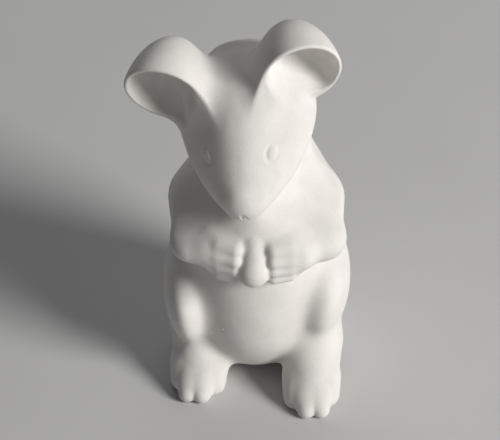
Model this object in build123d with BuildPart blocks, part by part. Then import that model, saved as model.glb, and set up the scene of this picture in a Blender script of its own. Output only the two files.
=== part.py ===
# A mouse figurine, cast in white plaster: it sits up, bows its head and holds a seed in its paws.
# Millimetres. The mouse looks along -Y, +Z is up, and the origin is the middle of its flat base.
# Left and right are the mouse's own, so its left side is +X.
# Each member is its own solid, and one that is stuck on is cut to the form that carries it.

import os
from math import asin, cos, degrees, radians, sin

from build123d import *

# The body, an upright egg that leans back into a high nape
torso_height = 92.2
torso_half_width = 22.0
torso_half_depth = 25.0

# Sections of the body from the base up, as shares of its height, half width and half depth:
# height, half width, half depth, and how far the middle lies behind the origin
torso_section_shares = [
    (0.000, 0.727, 0.640, 0.176),
    (0.075, 0.845, 0.872, 0.096),
    (0.172, 0.927, 0.968, 0.048),
    (0.279, 0.968, 0.996, 0.036),
    (0.386, 0.991, 0.980, 0.056),
    (0.494, 1.000, 0.952, 0.088),
    (0.579, 0.955, 0.912, 0.112),
    (0.655, 0.800, 0.848, 0.152),
    (0.719, 0.700, 0.776, 0.192),
    (0.794, 0.677, 0.664, 0.260),
    (0.869, 0.695, 0.536, 0.344),
    (0.933, 0.650, 0.410, 0.420),
    (0.976, 0.495, 0.275, 0.452),
    (0.994, 0.280, 0.155, 0.460),
]
torso_top_share = 0.464

# The head, a cone that runs from a round skull to the nose
head_length = 48.0
head_half_width = 18.3
head_half_height = 13.6
head_pitch = 22.0
head_roll = -9.0
head_turn = -4.0

# The middle of the skull, as shares of the body: across, forward, up
head_place_shares = (-0.109, 0.000, 0.885)

# Sections of the head from the back of the skull to the nose, as shares of its length,
# half width and half height: distance from the middle, half width, half height, drop
head_section_shares = [
    (-0.342, 0.230, 0.230, 0.044),
    (-0.292, 0.519, 0.515, 0.044),
    (-0.167, 0.842, 0.838, 0.022),
    (0.000, 1.000, 1.000, 0.000),
    (0.167, 0.951, 0.956, 0.044),
    (0.312, 0.798, 0.794, 0.132),
    (0.427, 0.601, 0.603, 0.235),
    (0.525, 0.410, 0.441, 0.316),
    (0.588, 0.257, 0.309, 0.368),
    (0.612, 0.142, 0.176, 0.390),
]
head_back_share = -0.354
head_back_drop_share = 0.044
head_nose_share = 0.619
head_nose_drop_share = 0.404

# The eyes, each a bead in a shallow socket, long towards the nose
eye_socket_length = 6.8
eye_socket_width = 5.2
eye_socket_depth = 0.9
eye_bead_length = 4.8
eye_bead_width = 3.4
eye_bead_height = 0.6
eye_place_shares = (0.480, 0.350, 0.382)
eye_facing_out = 41.0
eye_facing_up = 42.0

# The cleft under the nose, a groove that runs down from its tip
nose_cleft_radius = 0.45
nose_cleft_top_shares = (0.631, -0.32)
nose_cleft_bottom_shares = (0.573, -0.72)

# The ears, deep cups with a thick wall at the back
ear_radius = 10.4
ear_depth = 17.0
ear_wall = 1.5
ear_back_wall = 4.5

# The mouth of each cup runs out over the brow, where its lip is open: half width and half length
# of that opening, how far its middle lies from the rim's, and the way it runs, up from inwards
ear_mouth_half_width = 5.5
ear_mouth_half_length = 9.5
ear_mouth_shift = 4.5
ear_mouth_angle = -50.0

# The middle of each rim, as shares of the head's half width, length and half height: across,
# forward, up. Then the way each cup faces in the head's own frame, in degrees: out and up.
ear_place_shares = {"left": (0.907, 0.006, 0.925), "right": (-1.021, 0.071, 0.931)}
ear_facing = {"left": (17.9, 5.1), "right": (-10.6, 3.5)}

# The arms. Each joint is placed by shares of the body: across, forward, up.
arm_shoulder_radius = 8.0
arm_elbow_radius = 6.3
arm_wrist_radius = 4.7
arm_shoulder_shares = {"left": (0.680, 0.100, 0.577), "right": (-0.627, 0.100, 0.573)}
arm_elbow_shares = {"left": (0.795, 0.480, 0.523), "right": (-0.691, 0.480, 0.508)}
arm_wrist_shares = {"left": (0.555, 0.792, 0.535), "right": (-0.532, 0.792, 0.527)}

# The paws, each a palm with four fingers one above the other
palm_radius = 4.7
palm_half_height = 5.7
palm_place_shares = (0.341, 0.870, 0.534)
wrist_end_radius = 4.2
finger_count = 4
finger_root_radius = 2.0
finger_tip_radius = 1.8
finger_length = 4.6
finger_pitch = 2.7
finger_droop = 0.3
finger_root_back = 2.1
finger_tip_forward = 0.6
finger_overlap = 0.4
lowest_finger_share = 0.65

# The seed, a bulb that narrows to a neck. Its bulb is placed by shares of the body.
seed_bulb_radius = 4.1
seed_neck_radius = 3.0
seed_length = 12.5
seed_lean = 4.0
seed_place_shares = (0.000, 0.984, 0.512)

# The haunches, each a lens-shaped swelling at the side of the body
haunch_radius = 15.6
haunch_half_width = 10.4
haunch_splay = 7.0
haunch_place_shares = {"left": (0.755, 0.144, 0.266), "right": (-0.691, 0.200, 0.2625)}

# The feet, each a heel and a ball with four toes. The left foot stands further forward.
foot_heel_radius = 8.6
foot_heel_height = 11.0
foot_ball_radius = 7.6
foot_length = 8.0
foot_sole_cut = 0.6
foot_place_shares = {"left": (0.727, 0.480), "right": (-0.677, 0.304)}
foot_instep_radius = 3.8
foot_instep_half_span = 3.0
foot_instep_forward = 4.7
toe_root_radius = 3.4
toe_root_forward = 4.4
toe_sole_cut = 0.4

# Where the toes start and end, as shares of the ball's radius: root across and tip across
# from the ball's middle, outwards, the tip forward of it, and the tip's radius
toe_shares = [
    (-0.592, -0.645, 0.908, 0.303),
    (-0.197, -0.158, 1.461, 0.303),
    (0.250, 0.395, 1.421, 0.303),
    (0.618, 0.730, 0.763, 0.342),
]
toe_root_height_share = 0.987

# The tail comes out of the middle of the back and lies round the foot of the body to the right
tail_root_radius = 3.6
tail_tip_radius = 1.6
tail_seat = 1.0
tail_root_seat = 6.0
tail_start_angle = 76.0
tail_sweep = 108.0
tail_stations = 10

side_sign = {"left": 1, "right": -1}


def body_point(shares):
    """The point at shares of the body's half width, half depth forward and height."""
    across, forward, up = shares
    return Vector(across * torso_half_width, -forward * torso_half_depth, up * torso_height)


def oval(plane, half_width, half_height, shift):
    """An ellipse on a plane in two halves, so that a skin's seams run up both its sides."""
    with BuildSketch(plane) as section:
        with BuildLine():
            EllipticalCenterArc((0, shift), half_width, half_height, 0, arc_size=180)
            EllipticalCenterArc((0, shift), half_width, half_height, 180, arc_size=180)
        make_face()
    return section.sketch.face()


def plane_along(start, axis):
    """A plane through a point that holds an axis as its own x direction."""
    return Plane(origin=start, x_dir=axis, z_dir=Plane(origin=start, z_dir=axis).x_dir)


def limb(start, end, start_radius, end_radius):
    """A round-ended taper from one point to another: two balls and the cone that touches both."""
    start = Vector(start)
    axis = Vector(end) - start
    length = axis.length
    touch = 90 - degrees(asin((start_radius - end_radius) / length))
    with BuildPart() as member:
        with BuildSketch(plane_along(start, axis)):
            with BuildLine():
                near = CenterArc((0, 0), start_radius, touch, 180 - touch)
                far = CenterArc((length, 0), end_radius, 0, touch)
                Line(far @ 1, near @ 0)
                Line(near @ 1, far @ 0)
            make_face()
        revolve(axis=Axis(start, axis))
    return member.part


def spheroid(middle, axis, half_length, radius):
    """An egg with round ends: a ball stretched or flattened along an axis."""
    with BuildPart() as egg:
        Sphere(radius)
        scale(by=(1, 1, half_length / radius))
    return egg.part.moved(Plane(origin=middle, z_dir=axis).location)


def cut_by(forms):
    """Take forms that may cross each other away from the open part, one after another."""
    for form in forms:
        add(form, mode=Mode.SUBTRACT)


def finish(member, name):
    """Label a sub-part and write it out."""
    member.part.label = name
    export_step(member.part, f"parts/{name}.step")


os.makedirs("parts", exist_ok=True)

# Head

head_middle = body_point(head_place_shares)
head_frame = Plane(Location(head_middle, (head_pitch, head_roll, head_turn), Extrinsic.XYZ))
muzzle_frame = Plane(origin=head_middle, x_dir=head_frame.x_dir, z_dir=-head_frame.y_dir)


def head_point(across, forward, up):
    """A point in the head's own frame."""
    return head_frame.from_local_coords((across, -forward, up))


def head_direction(out, up):
    """A direction in the head's own frame, turned outwards from straight ahead, then up."""
    aim = Vector(0, -1, 0).rotate(Axis.X, -up).rotate(Axis.Z, out)
    return head_frame.from_local_coords(aim) - head_middle


head_sections = [
    oval(
        muzzle_frame.offset(distance * head_length),
        width * head_half_width,
        height * head_half_height,
        -drop * head_half_height,
    )
    for distance, width, height, drop in head_section_shares
]
head_back = head_point(0, head_back_share * head_length, -head_back_drop_share * head_half_height)
head_nose = head_point(0, head_nose_share * head_length, -head_nose_drop_share * head_half_height)

eye_across, eye_forward, eye_up = eye_place_shares
eye_sockets = []
eye_beads = []
for sign in side_sign.values():
    eye = head_point(
        sign * eye_across * head_half_width, eye_forward * head_length, eye_up * head_half_height
    )
    outward = head_direction(sign * eye_facing_out, eye_facing_up).normalized()
    along = outward.cross(muzzle_frame.z_dir).cross(outward).normalized()
    socket_shift = eye_socket_width / 2 - eye_socket_depth
    bead_shift = eye_bead_height - eye_bead_width / 2
    eye_sockets.append(
        spheroid(eye + outward * socket_shift, along, eye_socket_length / 2, eye_socket_width / 2)
    )
    eye_beads.append(
        spheroid(eye + outward * bead_shift, along, eye_bead_length / 2, eye_bead_width / 2)
    )

cleft_forward, cleft_up = nose_cleft_top_shares
cleft_top = head_point(0, cleft_forward * head_length, cleft_up * head_half_height)
cleft_forward, cleft_up = nose_cleft_bottom_shares
cleft_bottom = head_point(0, cleft_forward * head_length, cleft_up * head_half_height)

with BuildPart() as head:
    loft([Vertex(*head_back), *head_sections, Vertex(*head_nose)])
    cut_by(eye_sockets)
    add(eye_beads)
    cut_by([limb(cleft_top, cleft_bottom, nose_cleft_radius, nose_cleft_radius)])

finish(head, "head")

# Torso

torso_sections = [
    oval(
        Plane.XY.offset(height * torso_height),
        width * torso_half_width,
        depth * torso_half_depth,
        back * torso_half_depth,
    )
    for height, width, depth, back in torso_section_shares
]

with BuildPart() as torso_form:
    loft([*torso_sections, Vertex(0, torso_top_share * torso_half_depth, torso_height)])

with BuildPart() as torso:
    add(torso_form.part)
    add(head.part, mode=Mode.SUBTRACT)

finish(torso, "torso")
trunk = [torso_form.part, head.part]

# Ears

for side in side_sign:
    across, forward, up = ear_place_shares[side]
    rim_middle = head_point(
        across * head_half_width, forward * head_length, up * head_half_height
    )
    facing = head_direction(*ear_facing[side])
    with BuildPart() as ear:
        with BuildSketch(plane_along(rim_middle, -facing)):
            with BuildLine():
                outside = EllipticalCenterArc((0, 0), ear_depth, ear_radius, 0, arc_size=90)
                inside = EllipticalCenterArc(
                    (0, 0), ear_depth - ear_back_wall, ear_radius - ear_wall, 0, arc_size=90
                )
                Line(outside @ 0, inside @ 0)
                ThreePointArc(
                    outside @ 1, (-ear_wall / 2, ear_radius - ear_wall / 2), inside @ 1
                )
            make_face()
        revolve(axis=Axis(rim_middle, facing))
        rim_frame = Plane(origin=rim_middle, x_dir=head_frame.x_dir, z_dir=facing)
        inward = rim_frame.x_dir * -side_sign[side]
        brow = inward * cos(radians(ear_mouth_angle)) + rim_frame.y_dir * sin(radians(ear_mouth_angle))
        mouth = rim_middle + brow * ear_mouth_shift
        cut_by([spheroid(mouth, brow, ear_mouth_half_length, ear_mouth_half_width), *trunk])
    finish(ear, f"ear_{side}")

# Seed

seed_foot = body_point(seed_place_shares)
seed_tip = seed_foot + Vector(0, seed_lean, seed_length - seed_bulb_radius - seed_neck_radius)
seed_form = limb(seed_foot, seed_tip, seed_bulb_radius, seed_neck_radius)
with BuildPart() as seed:
    add(seed_form)
    cut_by(trunk)

finish(seed, "seed")

# Arms

arm_forms = {}
for side in side_sign:
    shoulder = body_point(arm_shoulder_shares[side])
    elbow = body_point(arm_elbow_shares[side])
    wrist = body_point(arm_wrist_shares[side])
    upper_arm = limb(shoulder, elbow, arm_shoulder_radius, arm_elbow_radius)
    forearm = limb(elbow, wrist, arm_elbow_radius, arm_wrist_radius)
    arm_forms[side] = [upper_arm, forearm]
    with BuildPart() as arm:
        add(arm_forms[side])
        cut_by(trunk)
    finish(arm, f"arm_{side}")

# Paws

palm_across, palm_forward, palm_up = palm_place_shares
for side, sign in side_sign.items():
    palm = body_point((sign * palm_across, palm_forward, palm_up))
    rise = Vector(0, 0, palm_half_height - palm_radius)
    members = [
        limb(palm - rise, palm + rise, palm_radius, palm_radius),
        limb(body_point(arm_wrist_shares[side]), palm, arm_wrist_radius, wrist_end_radius),
    ]
    for step in range(finger_count):
        level = seed_foot.Z + (step - lowest_finger_share) * finger_pitch
        near = seed_bulb_radius + finger_overlap
        root = Vector(sign * (near + finger_length), seed_foot.Y + finger_root_back, level)
        tip = Vector(sign * near, seed_foot.Y - finger_tip_forward, level - finger_droop)
        members.append(limb(root, tip, finger_root_radius, finger_tip_radius))
    with BuildPart() as paw:
        add(members)
        cut_by([*trunk, seed_form, *arm_forms[side]])
    finish(paw, f"paw_{side}")

# Haunches

haunch_forms = {}
for side, sign in side_sign.items():
    middle = body_point(haunch_place_shares[side])
    outward = Vector(1, 0, 0).rotate(Axis.Y, sign * haunch_splay)
    haunch_forms[side] = spheroid(middle, outward, haunch_half_width, haunch_radius)
    with BuildPart() as haunch:
        add(haunch_forms[side])
        cut_by([torso_form.part])
    finish(haunch, f"haunch_{side}")

# Feet

foot_forms = {}
for side, sign in side_sign.items():
    across, forward = foot_place_shares[side]
    heel = Vector(across * torso_half_width, -forward * torso_half_depth, foot_heel_height)
    ball = Vector(heel.X, heel.Y - foot_length, foot_ball_radius - foot_sole_cut)
    instep = Vector(ball.X, ball.Y - foot_instep_forward, foot_instep_radius - toe_sole_cut)
    span = Vector(foot_instep_half_span, 0, 0)
    members = [
        limb(heel, ball, foot_heel_radius, foot_ball_radius),
        limb(instep - span, instep + span, foot_instep_radius, foot_instep_radius),
    ]
    for root_across, tip_across, tip_forward, tip_share in toe_shares:
        tip_radius = tip_share * foot_ball_radius
        root = Vector(
            ball.X + sign * root_across * foot_ball_radius,
            ball.Y - toe_root_forward,
            toe_root_height_share * foot_ball_radius,
        )
        tip = Vector(
            ball.X + sign * tip_across * foot_ball_radius,
            ball.Y - tip_forward * foot_ball_radius,
            tip_radius - toe_sole_cut,
        )
        members.append(limb(root, tip, toe_root_radius, tip_radius))
    foot_forms[side] = members
    with BuildPart() as foot:
        add(members)
        split(bisect_by=Plane.XY, keep=Keep.TOP)
        cut_by([torso_form.part, haunch_forms[side]])
    finish(foot, f"foot_{side}")

# Tail

_, base_width_share, base_depth_share, base_back_share = torso_section_shares[0]
tail_points = []
tail_radii = []
for station in range(tail_stations):
    share = station / (tail_stations - 1)
    radius = tail_root_radius + share * (tail_tip_radius - tail_root_radius)
    stand_off = radius - tail_seat - tail_root_seat * (1 - share) ** 4
    angle = radians(tail_start_angle + share * tail_sweep)
    half_width = base_width_share * torso_half_width + stand_off
    half_depth = base_depth_share * torso_half_depth + stand_off
    back = base_back_share * torso_half_depth + half_depth * sin(angle)
    tail_points.append(Vector(half_width * cos(angle), back, radius))
    tail_radii.append(radius)

tail_path = Spline(tail_points)
tail_sections = [
    oval(Plane(origin=point, z_dir=tail_path.tangent_at(point)), radius, radius, 0)
    for point, radius in zip(tail_points, tail_radii)
]
with BuildPart() as tail:
    loft(tail_sections)
    with Locations(tail_points[-1]):
        Sphere(tail_tip_radius)
    cut_by([torso_form.part, haunch_forms["right"], *foot_forms["right"]])

finish(tail, "tail")
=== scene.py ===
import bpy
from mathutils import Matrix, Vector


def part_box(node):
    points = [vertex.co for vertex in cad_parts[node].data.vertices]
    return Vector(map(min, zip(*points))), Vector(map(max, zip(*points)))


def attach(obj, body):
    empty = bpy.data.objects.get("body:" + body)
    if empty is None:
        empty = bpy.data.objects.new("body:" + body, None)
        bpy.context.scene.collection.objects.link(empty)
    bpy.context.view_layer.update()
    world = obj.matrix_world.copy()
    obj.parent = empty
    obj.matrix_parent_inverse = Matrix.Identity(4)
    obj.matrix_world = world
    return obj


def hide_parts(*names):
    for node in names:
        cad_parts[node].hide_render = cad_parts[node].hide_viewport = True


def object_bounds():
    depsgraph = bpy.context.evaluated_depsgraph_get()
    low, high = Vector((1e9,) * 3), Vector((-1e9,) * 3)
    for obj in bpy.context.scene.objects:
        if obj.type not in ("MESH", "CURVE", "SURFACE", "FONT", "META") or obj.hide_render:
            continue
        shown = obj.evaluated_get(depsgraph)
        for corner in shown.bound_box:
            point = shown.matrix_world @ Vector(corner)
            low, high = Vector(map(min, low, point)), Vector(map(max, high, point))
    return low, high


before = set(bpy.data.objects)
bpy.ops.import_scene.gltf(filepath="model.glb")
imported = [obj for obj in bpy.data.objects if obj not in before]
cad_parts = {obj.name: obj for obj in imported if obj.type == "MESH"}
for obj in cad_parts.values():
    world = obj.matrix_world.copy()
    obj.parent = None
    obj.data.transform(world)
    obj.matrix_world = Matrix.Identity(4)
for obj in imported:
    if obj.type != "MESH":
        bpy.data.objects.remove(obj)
cad_box = [list(corner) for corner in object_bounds()]

import math

import bmesh
import bpy
import numpy as np
from bpy.props import FloatProperty, FloatVectorProperty, IntProperty, PointerProperty
from mathutils import Vector

bl_info = {
    "name": "Plaster mouse",
    "version": (1, 0, 0),
    "blender": (4, 5, 0),
    "location": "3D View > Sidebar > Plaster mouse",
    "description": "Models a seated plaster mouse in soft clay forms round its packed solids",
    "category": "Add Mesh",
}

# The sculptor's measures are in millimetres in the frame of the solids: the mouse looks along -Y,
# its own left is +X, and it stands on the plane z = 0. Meshes are made in metres.
METRE = 0.001

# The members, in the order in which one is pressed onto another
MEMBERS = [
    "torso", "haunch_left", "haunch_right", "foot_left", "foot_right", "arm_left", "arm_right",
    "paw_left", "paw_right", "seed", "head", "ear_left", "ear_right", "tail",
]
NUMBER = {name: place for place, name in enumerate(MEMBERS)}
LEFT, RIGHT = 1, -1
SIDES = {"left": LEFT, "right": RIGHT}

# The body's girth: height, half width, half depth, how far its middle lies back
BODY_GIRTH = [
    (0.0, 15.0, 13.5, 4.5),
    (3.5, 17.2, 18.4, 3.0),
    (7.5, 18.5, 21.3, 2.2),
    (15.9, 19.6, 24.2, 1.2),
    (25.7, 20.6, 24.9, 0.9),
    (35.6, 21.5, 24.5, 1.4),
    (45.5, 22.0, 23.8, 2.2),
    (53.4, 21.0, 22.8, 2.8),
    (60.4, 17.3, 21.2, 3.8),
    (66.3, 14.7, 19.4, 4.8),
    (73.2, 14.9, 16.6, 6.5),
    (80.1, 15.3, 13.4, 8.6),
    (86.0, 14.3, 10.2, 10.5),
    (89.6, 12.2, 7.2, 11.3),
    (91.3, 8.2, 4.6, 11.5),
    (91.9, 0.0, 0.0, 11.6),
]

# The soft pad of the breast above and behind the paws: middle, half measures, softness
BREAST_MIDDLE, BREAST_MEASURES, BREAST_SOFT = (0.5, -14.8, 52.5), (13.0, 8.3, 8.0), 7.0

# The softness of the edge round the flat base
BASE_SOFT = 0.8

# The head along its own line to the nose: distance, half width, half height, drop
HEAD_MIDDLE = (-2.1, 0.0, 81.6)
HEAD_TURN, HEAD_TILT, HEAD_BOW = -5.4, -9.0, 22.0
HEAD_GIRTH = [
    (-17.0, 0.0, 0.0, -0.6),
    (-14.0, 9.5, 7.0, -0.6),
    (-8.0, 15.4, 11.4, -0.3),
    (0.0, 17.9, 13.6, 0.0),
    (8.0, 16.9, 13.0, -0.6),
    (15.0, 14.3, 10.8, -1.8),
    (20.5, 11.0, 8.2, -3.2),
    (25.2, 7.2, 6.0, -4.3),
    (28.2, 4.3, 4.2, -5.0),
    (29.7, 0.0, 0.0, -5.5),
]

# The flat side of the muzzle: a point on it across, forward and up, the way it faces in degrees
# outwards and upwards, and its softness
MUZZLE_PLANE, MUZZLE_OUT, MUZZLE_UP, MUZZLE_SOFT = (9.0, 18.0, 2.6), 56.0, 38.0, 3.0

# Each ear: the middle of its rim, the way it faces, and its softness on the cheek. Then the
# radius and depth of both shells, those of the hollow inside, and the softness of the rim.
EARS = {
    "left": ((11.8, -6.0, 95.6), (0.28, -0.93, -0.22), 1.2),
    "right": ((-23.0, -6.5, 89.0), (-0.20, -0.93, -0.34), 4.5),
}
EAR_RADIUS, EAR_DEPTH = 10.4, 17.0
HOLLOW_RADIUS, HOLLOW_DEPTH = 9.2, 8.5
RIM_SOFT = 0.8

# How softly the hollow ends on the skull, and how far it can reach from the middle of the rim
HOLLOW_SOFT, HOLLOW_REACH = 6.0, 24.0

# Beyond the edge, measured across the head, an ear has its softness on the cheek. Within the fade
# it changes to that of the ears' fillet, which holds on the crown.
CROWN_EDGE, CROWN_FADE = 17.0, 8.0

# Where each hollow runs out onto the cheek without a lip: degrees from straight down towards
# the brow, and half its width. Then how far its middle lies from that of the rim, half its
# length, half its depth, and its softness.
MOUTHS = {"left": (30.0, 6.2), "right": (38.0, 4.6)}
MOUTH_REACH, MOUTH_LENGTH, MOUTH_DEPTH, MOUTH_SOFT = 4.5, 11.0, 6.5, 2.0

# Each arm: shoulder, elbow and wrist, and their radii
ARMS = {
    "left": ((15.4, -2.5, 52.8), (18.4, -14.2, 50.0), (12.4, -19.6, 49.6)),
    "right": ((-14.6, -2.5, 52.4), (-15.6, -17.6, 51.0), (-11.2, -19.6, 50.0)),
}
ARM_RADII, ELBOW_SOFT = (8.0, 5.4, 4.2), 3.0

# Below a height under the armpit the arms' fillet has only a share of its width, and over the
# rise it grows to the whole
ARMPIT_HEIGHT, ARMPIT_RISE, ARMPIT_SHARE = 48.0, 8.0, 0.45

# The flat front of each shoulder: a point on the crease behind it, the way the crease runs down,
# and the way the flat faces
SHOULDERS = {
    "left": ((18.4, -0.5, 60.7), (0.60, -0.47, -0.65), (0.54, -0.52, 0.66)),
    "right": ((-17.2, -7.2, 60.4), (-0.62, -0.35, -0.70), (-0.40, -0.62, 0.68)),
}

# Away from its middle a flat sinks: by the sink at the reach along the crease, and towards the
# front by the square of the way there over the bow, where its edge also grows softer
SHOULDER_REACH, SHOULDER_SINK, SHOULDER_BOW = 9.0, 1.4, 70.0
SHOULDER_SOFT, SHOULDER_SOFTENING = 0.8, 0.35

# The seed from foot to tip with its radii, the middle and half measures of the left palm, how far
# across the line between the paws lies, and how the wrist runs into the palm
SEED_FOOT, SEED_TIP, SEED_RADII = (0.6, -24.9, 46.8), (0.6, -21.6, 53.8), (4.1, 2.8)
PALM_MIDDLE, PALM_MEASURES = (8.0, -20.4, 48.9), (5.6, 4.4, 6.0)
PAWS_ACROSS = 0.8
WRIST_RADIUS, WRIST_SOFT = 4.0, 2.5

# Fingers: how high each lies, how far it bulges forward, and its radius. Each one bends from its
# root over its knuckle to its tip: across, along, share of the radius.
FINGERS = [(44.7, 0.0, 2.1), (47.5, 0.5, 2.1), (50.3, 0.4, 2.1), (52.9, -0.7, 2.1)]
FINGER_BENDS = [(11.2, -19.0, 1.05), (8.9, -22.8, 1.0), (5.0, -24.3, 0.92)]
FINGER_SOFT = 0.9

# Each haunch: its middle, and half its measures across, along and up
HAUNCHES = {
    "left": ((18.7, -3.4, 24.6), (7.5, 16.3, 15.0)),
    "right": ((-18.0, -5.8, 24.2), (6.9, 17.0, 14.6)),
}
HAUNCH_SPLAY = 7.0

# Each foot: the middle of its heel. Height and radius of the heel and of the ball before it.
FEET = {"left": (16.4, -12.0), "right": (-14.9, -7.6)}
HEEL_HEIGHT, HEEL_RADIUS = 11.0, 8.6
BALL_FORWARD, BALL_HEIGHT, BALL_RADIUS = 8.0, 7.0, 7.6
INSTEP_FORWARD, INSTEP_HEIGHT, INSTEP_MEASURES, INSTEP_SOFT = 4.5, 3.0, (7.0, 7.0, 5.0), 3.0

# Toes: root across, tip across and forward of the ball, radius. All roots share their place
# forward and up and their radius, and all tips are pressed a little flat on the ground.
TOES = [(-4.5, -4.9, 6.9, 2.3), (-1.5, -1.2, 11.0, 2.2), (1.9, 2.9, 10.7, 2.2), (4.6, 5.1, 5.3, 2.5)]
TOE_ROOT_FORWARD, TOE_ROOT_HEIGHT, TOE_ROOT_RADIUS = 2.4, 6.4, 3.2
TOE_PRESS, TOE_GROOVE, TOE_SOFT = 0.4, 0.6, 2.2

# The tail lies round the foot of the body: degrees where it starts and how far it runs, the
# circle that it lies on, its radius at the root and how much that thins, how deep it beds in, and
# how much deeper at its root
TAIL_START, TAIL_SWEEP, TAIL_LINKS = 76.0, 108.0, 12
TAIL_CIRCLE, TAIL_BACK = 16.0, 4.4
TAIL_RADIUS, TAIL_THINNING = 3.6, 2.0
TAIL_BED, TAIL_ROOT = 1.0, 6.0

# Relief in the head's own frame: across, forward and up from its middle. Each eye is a bead in
# a socket, moved onto the face in a few rounds, and the nose has a cleft. The spots are the radii
# of the balls with a finer mesh round them.
EYE_PLACE, EYE_OUT, EYE_UP, EYE_ROUNDS = (9.0, 17.4, 4.6), 44.0, 40.0, 3
SOCKET_OUT, SOCKET_MEASURES, SOCKET_SOFT = 1.35, (3.3, 2.6, 1.8), 0.5
BEAD_IN, BEAD_MEASURES, BEAD_SOFT = 0.95, (2.8, 1.9, 1.2), 0.3
CLEFT_TOP, CLEFT_FOOT, CLEFT_RADIUS, CLEFT_SOFT = (0.0, 30.6, -4.4), (0.0, 27.7, -9.4), 0.5, 0.9
CLEFT_PLACE = (0.0, 29.4, -7.0)
EYE_SPOT, CLEFT_SPOT = 4.6, 4.0

# The grid: its cell, the cells in a block, the margin and the lift of its lowest plane in cells,
# the distance in cells within which a block is filled finely, and the value of far samples
STEP, ROUGH_STEP = 0.5, 1.0
BLOCK, MARGIN, LIFT, CLOSE, FAR_VALUE = 4, 3, 0.3, 4.5, 5.0
BATCH = 200000

# A member counts only within its ball, widened by the first, and up to the second from it
BALL_MARGIN, BALL_GATE = 9, 8

# How points settle on the skin: rounds, and the longest move in cells. Then how often and by
# what share they are evened out, the least share of an edge before a crossing, and how deep the
# seams' own points lie in cells.
FIRST_SETTLE, EVEN_SETTLE, LAST_SETTLE = (3, 0.6), (1, 0.5), (2, 0.3)
EVEN_ROUNDS, EVEN_SHARE = 2, 0.5
EDGE_SHARE, SEAM_DEPTH = 0.05, 0.5

# The finer mesh: the share of its ball that each round of cuts reaches, and how its points settle
SPOT_SHARES, SPOT_SETTLE = (1.0, 0.8), (3, 0.2)

# The slope is measured over twice the nudge. A point within the band round the skin is shaded by
# the slope, where that faces the way of the point's face by at least this much.
NUDGE = 0.05
SKIN_BAND, SKIN_FACING = 0.08, 0.2

# Specks: their draw, how much their skin faces forward and its least height in metres, the range
# of their sizes and how deep they sit as shares, and how near the skin their place must be
SPECK_SEED = 11
SPECK_FACING, SPECK_FLOOR = 0.2, 0.004
SPECK_SHARES, SPECK_SINK, SPECK_SEAT = (0.5, 1.0), 0.15, 0.1

# The grain of the plaster: the finest grain and the broad patches in metres, and the strength of
# the pin holes. Then the detail and roughness of both noises, the scale, edge and rarity of the
# pin holes, what each part adds to the tone, the painted shade that the pin holes take from it, and the
# range of tones between the two colours.
GRAIN_SIZE, MOTTLE_SIZE, PIN_HOLES = 0.0004, 0.006, 0.5
FINE_NOISE, BROAD_NOISE = (3.0, 0.6), (4.0, 0.55)
HOLE_SCALE, HOLE_EDGE, HOLE_PICK = 0.35, (0.10, 0.20), 0.86
BROAD_TONE, FINE_TONE, HOLE_PAINTED_SHADE, TONE_SPREAD = 0.7, 0.3, 0.35, (0.30, 0.62)
ROUGHNESS, GRAIN_ROUGHNESS = 0.80, 0.14
MINERAL_IOR, PLASTER_GLOSS = 1.45, 0.25

# The floor, in metres: half its width, how far it lies below the base, the shade of its mottling
# as a share of its colour, and the finish of its card
FLOOR_HALF, FLOOR_GAP, FLOOR_SHADE = 1.5, 0.00005, 0.97
FLOOR_FINISH = {"grain": 0.0008, "mottle": 0.05, "holes": 0.0, "relief": 0.00002, "gloss": 0.1}

# The lamps: the way to each one, its share of the key's power, its width in metres and its tint.
# Then what they point at, and from how far.
LAMPS = [
    ("key", (0.79, -0.41, 0.46), 1.0, 0.65, (1.0, 0.985, 0.96)),
    ("fill", (-0.35, -0.80, 0.50), 0.01, 1.4, (0.95, 0.97, 1.0)),
    ("back", (-0.05, 0.75, 0.65), 0.20, 1.4, (0.98, 0.99, 1.0)),
]
LAMP_AIM, LAMP_DISTANCE = (0.0, 0.0, 0.05), 1.6
SKY_TINT = (0.97, 0.98, 1.0, 1.0)

# The camera: what it looks at in metres, its sensor and lens in millimetres, and its shift
CAMERA_AIM = (0.0, -0.003, 0.048)
SENSOR_WIDTH, FOCAL_LENGTH = 36.0, 115.2
SHIFT_ACROSS, SHIFT_UP = -0.010, -0.012

# Guards against a division by nothing
TINY, TINIEST, LEAST_AREA = 1e-9, 1e-12, 1


def vector(*parts):
    """A point or direction as an array."""
    return np.array(parts, float)


def unit(direction):
    """A direction of length one."""
    direction = np.array(direction, float)
    return direction / np.linalg.norm(direction)


def turned(axis, degrees):
    """The matrix that turns a point about an axis."""
    x, y, z = unit(axis)
    sine, cosine = math.sin(math.radians(degrees)), math.cos(math.radians(degrees))
    cross = np.array([[0, -z, y], [z, 0, -x], [-y, x, 0]])
    return np.eye(3) + sine * cross + (1 - cosine) * cross @ cross


def axes_along(direction, across=(1, 0, 0)):
    """Three axes in rows, the last along a direction."""
    ahead = unit(direction)
    side = np.array(across, float)
    side = unit(side - ahead * (side @ ahead))
    return np.array([side, np.cross(ahead, side), ahead])


def join(first, second, softness):
    """Press one form onto another with a soft fillet between them."""
    near = np.maximum(softness - np.abs(first - second), 0) / softness
    return np.minimum(first, second) - near * near * softness / 4


def carve(first, second, softness):
    """Keep what two forms share, with a softened edge."""
    return -join(-first, -second, softness)


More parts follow.
